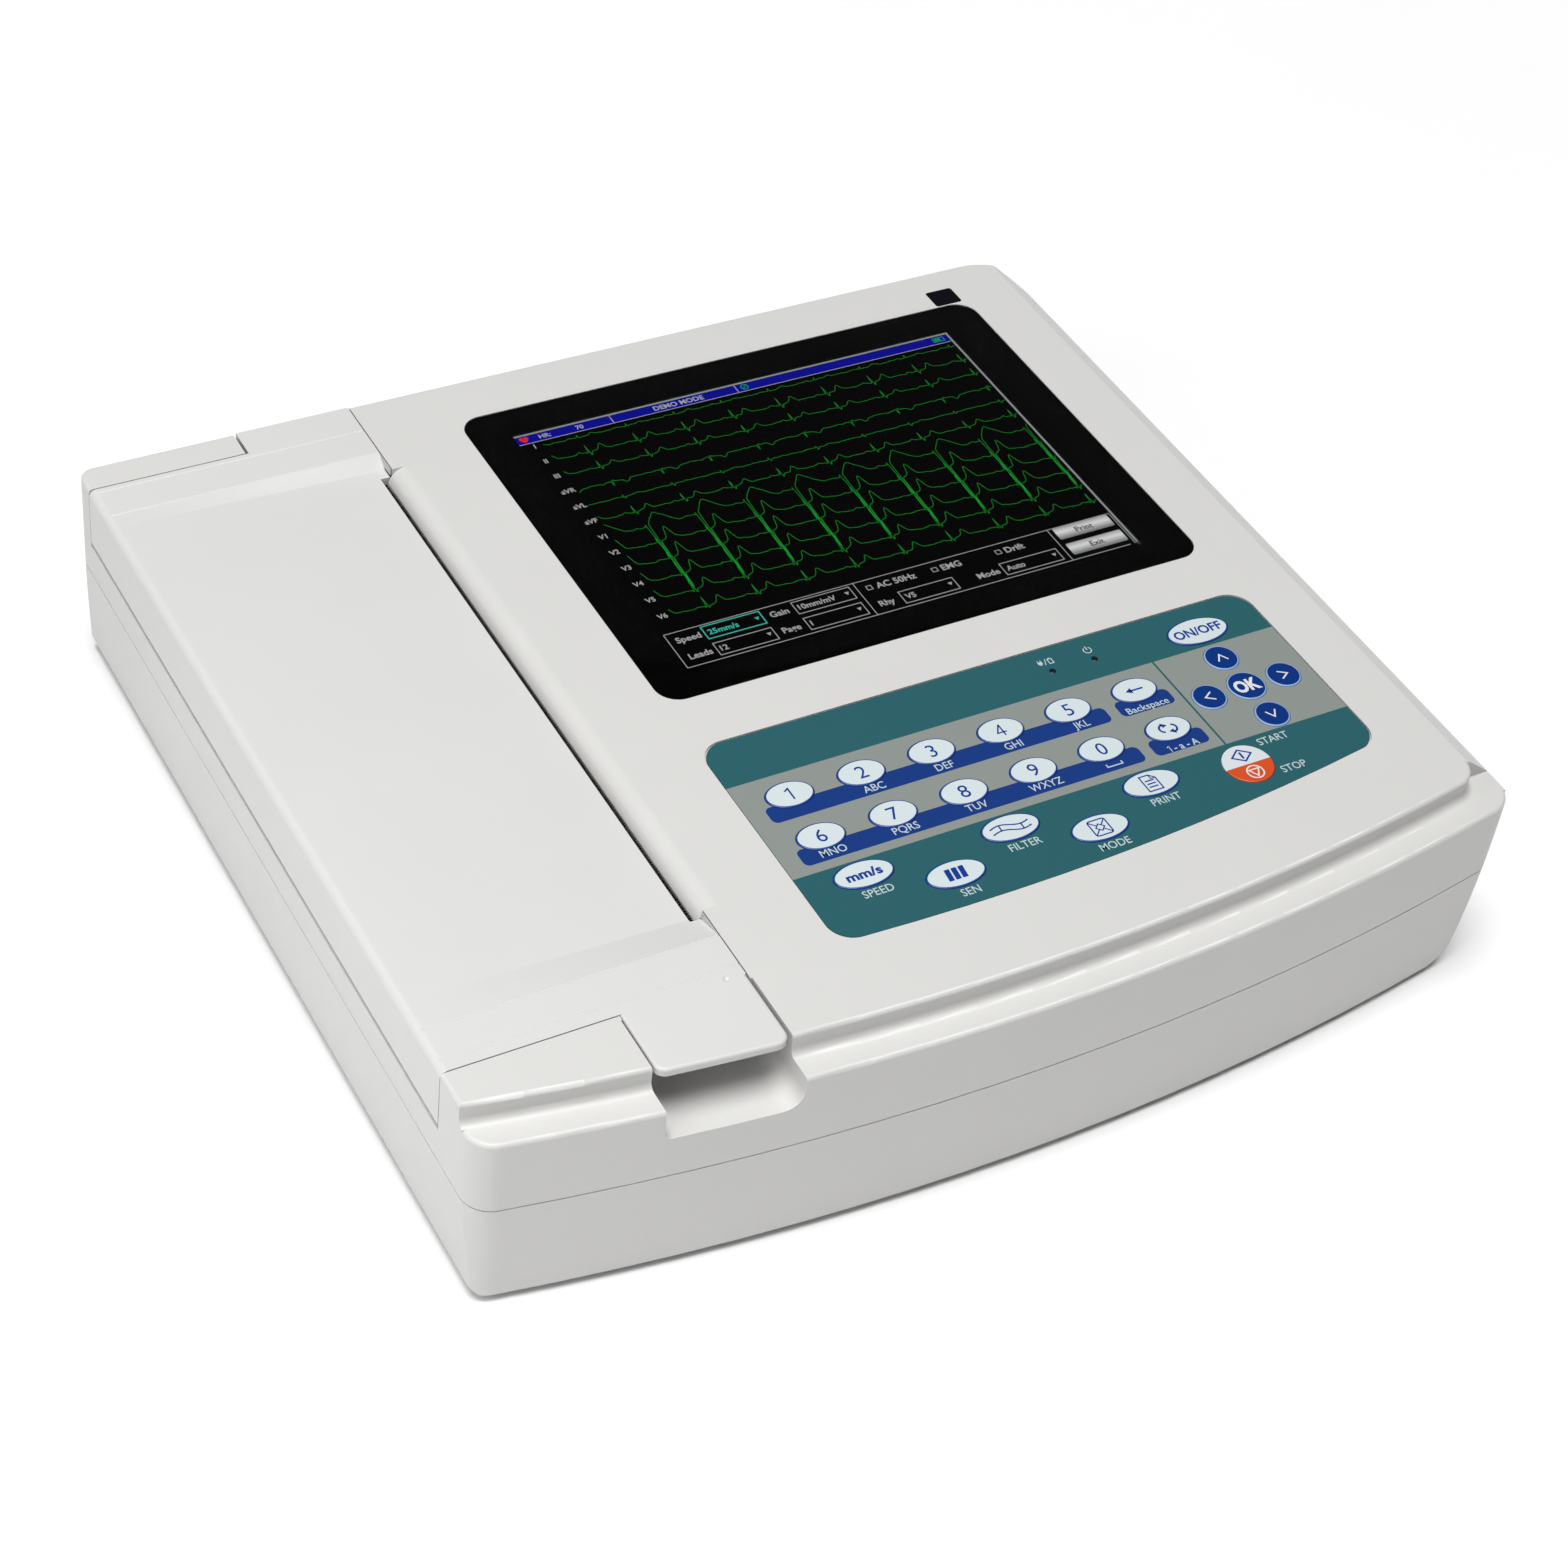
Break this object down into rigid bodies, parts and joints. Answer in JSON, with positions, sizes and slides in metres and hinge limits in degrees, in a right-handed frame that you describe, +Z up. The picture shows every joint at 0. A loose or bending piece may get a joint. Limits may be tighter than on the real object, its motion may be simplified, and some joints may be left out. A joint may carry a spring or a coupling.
{
  "type": "ecg machine",
  "caption": "Desktop ECG recorder: wedge-edged white case with a colour display, membrane keypad, and a hinged paper door over a wide thermal printer",
  "frame": {"origin": "under the middle of the bounding box, on the plane the feet rest on", "axes": "+X to the operator's right (longest), -Y towards the operator, +Z up (shortest)"},
  "size_m": [0.343, 0.3222, 0.0721],
  "materials": {
    "case_white": "fine moulded texture, warm white ABS",
    "lens_black": "gloss black printed window",
    "panel_metal": "plated sheet frame",
    "sensor_black": "gloss black window",
    "overlay_teal": "printed polyester film with teal and grey bands",
    "board_green": "solder-masked circuit board",
    "battery_blue": "shrink-wrapped cells",
    "speaker_black": "moulded frame",
    "connector_black": "moulded nylon",
    "switch_black": "glossy rocker",
    "post_steel": "nickel-plated brass",
    "connector_steel": "tin-plated shell",
    "foot_rubber": "moulded rubber",
    "screw_steel": "zinc-plated steel",
    "bay_grey": "moulded grey ABS",
    "paper_white": "thermal paper",
    "spindle_black": "moulded acetal",
    "shaft_steel": "ground steel",
    "tear_steel": "stamped stainless strip",
    "platen_rubber": "ground silicone rubber",
    "gear_acetal": "natural acetal",
    "pinion_brass": "machined brass",
    "motor_steel": "black lamination stack",
    "plate_steel": "zinc-plated sheet",
    "head_ceramic": "glazed ceramic board",
    "heatsink_alu": "extruded aluminium",
    "spring_steel": "spring steel",
    "key_white": "printed polyester, white with a blue legend",
    "key_orange": "printed polyester, half white and half orange",
    "key_blue": "printed polyester, blue with a white legend"
  },
  "bodies": {
    "case": {"top_case": "case_white", "bottom_case": "case_white", "battery_door": "case_white", "display_glass": "lens_black", "lcd_panel": "panel_metal", "sensor_window": "sensor_black", "keypad_overlay": "overlay_teal", "keypad_board": "board_green", "main_board": "board_green", "power_board": "board_green", "battery_pack": "battery_blue", "speaker": "speaker_black", "mains_inlet": "connector_black", "switch_frame": "connector_black", "ground_post": "post_steel", "ecg_socket": "connector_steel", "data_ports": "connector_steel", "rubber_feet": "foot_rubber", "case_screws": "screw_steel", "paper_bay": "bay_grey", "hinge_pins": "shaft_steel", "tear_bar": "tear_steel", "stepper_motor": "motor_steel", "gear_plate": "plate_steel", "print_head": "head_ceramic", "head_heatsink": "heatsink_alu", "head_springs": "spring_steel"},
    "door": {"printer_door": "case_white"},
    "platen": {"platen_shaft": "shaft_steel", "platen_rubber": "platen_rubber", "platen_gear": "gear_acetal"},
    "idler": {"idler_gear": "gear_acetal"},
    "pinion": {"motor_pinion": "pinion_brass"},
    "paper_supply": {"paper_roll": "paper_white", "roll_spindle": "spindle_black"},
    "rocker": {"power_rocker": "switch_black"},
    "key_1": {"key_1": "key_white"},
    "key_2": {"key_2": "key_white"},
    "key_3": {"key_3": "key_white"},
    "key_4": {"key_4": "key_white"},
    "key_5": {"key_5": "key_white"},
    "key_6": {"key_6": "key_white"},
    "key_7": {"key_7": "key_white"},
    "key_8": {"key_8": "key_white"},
    "key_9": {"key_9": "key_white"},
    "key_0": {"key_0": "key_white"},
    "key_backspace": {"key_backspace": "key_white"},
    "key_shift": {"key_shift": "key_white"},
    "key_speed": {"key_speed": "key_white"},
    "key_gain": {"key_gain": "key_white"},
    "key_filter": {"key_filter": "key_white"},
    "key_mode": {"key_mode": "key_white"},
    "key_print": {"key_print": "key_white"},
    "key_start_stop": {"key_start_stop": "key_orange"},
    "key_power": {"key_power": "key_white"},
    "key_ok": {"key_ok": "key_blue"},
    "key_up": {"key_up": "key_blue"},
    "key_down": {"key_down": "key_blue"},
    "key_left": {"key_left": "key_blue"},
    "key_right": {"key_right": "key_blue"}
  },
  "joints": [
    {"name": "door_hinge", "type": "hinge", "parent": "case", "child": "door", "pos_m": [-0.1699, 0, 0.052], "axis": [0, -1, 0], "range_deg": [0, 95]},
    {"name": "platen_spin", "type": "hinge", "parent": "door", "child": "platen", "pos_m": [-0.0908, 0, 0.0585], "axis": [0, 1, 0], "continuous": true},
    {"name": "idler_spin", "type": "hinge", "parent": "case", "child": "idler", "pos_m": [-0.0908, 0, 0.0384], "axis": [0, 1, 0], "continuous": true},
    {"name": "pinion_spin", "type": "hinge", "parent": "case", "child": "pinion", "pos_m": [-0.07512, 0, 0.02935], "axis": [0, 1, 0], "continuous": true},
    {"name": "roll_spin", "type": "hinge", "parent": "case", "child": "paper_supply", "pos_m": [-0.132, 0, 0.0325], "axis": [0, 1, 0], "continuous": true},
    {"name": "power_switch", "type": "hinge", "parent": "case", "child": "rocker", "pos_m": [0.072, 0.1466, 0.021], "axis": [0, 0, 1], "range_deg": [-18, 0]},
    {"name": "key_1_press", "type": "slide", "parent": "case", "child": "key_1", "axis": [0, 0, -1], "range_m": [0, 0.0005], "stiffness_N_per_m": 800},
    {"name": "key_2_press", "type": "slide", "parent": "case", "child": "key_2", "axis": [0, 0, -1], "range_m": [0, 0.0005], "stiffness_N_per_m": 800},
    {"name": "key_3_press", "type": "slide", "parent": "case", "child": "key_3", "axis": [0, 0, -1], "range_m": [0, 0.0005], "stiffness_N_per_m": 800},
    {"name": "key_4_press", "type": "slide", "parent": "case", "child": "key_4", "axis": [0, 0, -1], "range_m": [0, 0.0005], "stiffness_N_per_m": 800},
    {"name": "key_5_press", "type": "slide", "parent": "case", "child": "key_5", "axis": [0, 0, -1], "range_m": [0, 0.0005], "stiffness_N_per_m": 800},
    {"name": "key_6_press", "type": "slide", "parent": "case", "child": "key_6", "axis": [0, 0, -1], "range_m": [0, 0.0005], "stiffness_N_per_m": 800},
    {"name": "key_7_press", "type": "slide", "parent": "case", "child": "key_7", "axis": [0, 0, -1], "range_m": [0, 0.0005], "stiffness_N_per_m": 800},
    {"name": "key_8_press", "type": "slide", "parent": "case", "child": "key_8", "axis": [0, 0, -1], "range_m": [0, 0.0005], "stiffness_N_per_m": 800},
    {"name": "key_9_press", "type": "slide", "parent": "case", "child": "key_9", "axis": [0, 0, -1], "range_m": [0, 0.0005], "stiffness_N_per_m": 800},
    {"name": "key_0_press", "type": "slide", "parent": "case", "child": "key_0", "axis": [0, 0, -1], "range_m": [0, 0.0005], "stiffness_N_per_m": 800},
    {"name": "key_backspace_press", "type": "slide", "parent": "case", "child": "key_backspace", "axis": [0, 0, -1], "range_m": [0, 0.0005], "stiffness_N_per_m": 800},
    {"name": "key_shift_press", "type": "slide", "parent": "case", "child": "key_shift", "axis": [0, 0, -1], "range_m": [0, 0.0005], "stiffness_N_per_m": 800},
    {"name": "key_speed_press", "type": "slide", "parent": "case", "child": "key_speed", "axis": [0, 0, -1], "range_m": [0, 0.0005], "stiffness_N_per_m": 800},
    {"name": "key_gain_press", "type": "slide", "parent": "case", "child": "key_gain", "axis": [0, 0, -1], "range_m": [0, 0.0005], "stiffness_N_per_m": 800},
    {"name": "key_filter_press", "type": "slide", "parent": "case", "child": "key_filter", "axis": [0, 0, -1], "range_m": [0, 0.0005], "stiffness_N_per_m": 800},
    {"name": "key_mode_press", "type": "slide", "parent": "case", "child": "key_mode", "axis": [0, 0, -1], "range_m": [0, 0.0005], "stiffness_N_per_m": 800},
    {"name": "key_print_press", "type": "slide", "parent": "case", "child": "key_print", "axis": [0, 0, -1], "range_m": [0, 0.0005], "stiffness_N_per_m": 800},
    {"name": "key_start_stop_press", "type": "slide", "parent": "case", "child": "key_start_stop", "axis": [0, 0, -1], "range_m": [0, 0.0005], "stiffness_N_per_m": 800},
    {"name": "key_power_press", "type": "slide", "parent": "case", "child": "key_power", "axis": [0, 0, -1], "range_m": [0, 0.0005], "stiffness_N_per_m": 800},
    {"name": "key_ok_press", "type": "slide", "parent": "case", "child": "key_ok", "axis": [0, 0, -1], "range_m": [0, 0.0005], "stiffness_N_per_m": 800},
    {"name": "key_up_press", "type": "slide", "parent": "case", "child": "key_up", "axis": [0, 0, -1], "range_m": [0, 0.0005], "stiffness_N_per_m": 800},
    {"name": "key_down_press", "type": "slide", "parent": "case", "child": "key_down", "axis": [0, 0, -1], "range_m": [0, 0.0005], "stiffness_N_per_m": 800},
    {"name": "key_left_press", "type": "slide", "parent": "case", "child": "key_left", "axis": [0, 0, -1], "range_m": [0, 0.0005], "stiffness_N_per_m": 800},
    {"name": "key_right_press", "type": "slide", "parent": "case", "child": "key_right", "axis": [0, 0, -1], "range_m": [0, 0.0005], "stiffness_N_per_m": 800}
  ],
  "couplings": [
    {"joint": "idler_spin", "follows": "platen_spin", "ratio": -0.66667},
    {"joint": "pinion_spin", "follows": "platen_spin", "ratio": 1.3333}
  ]
}
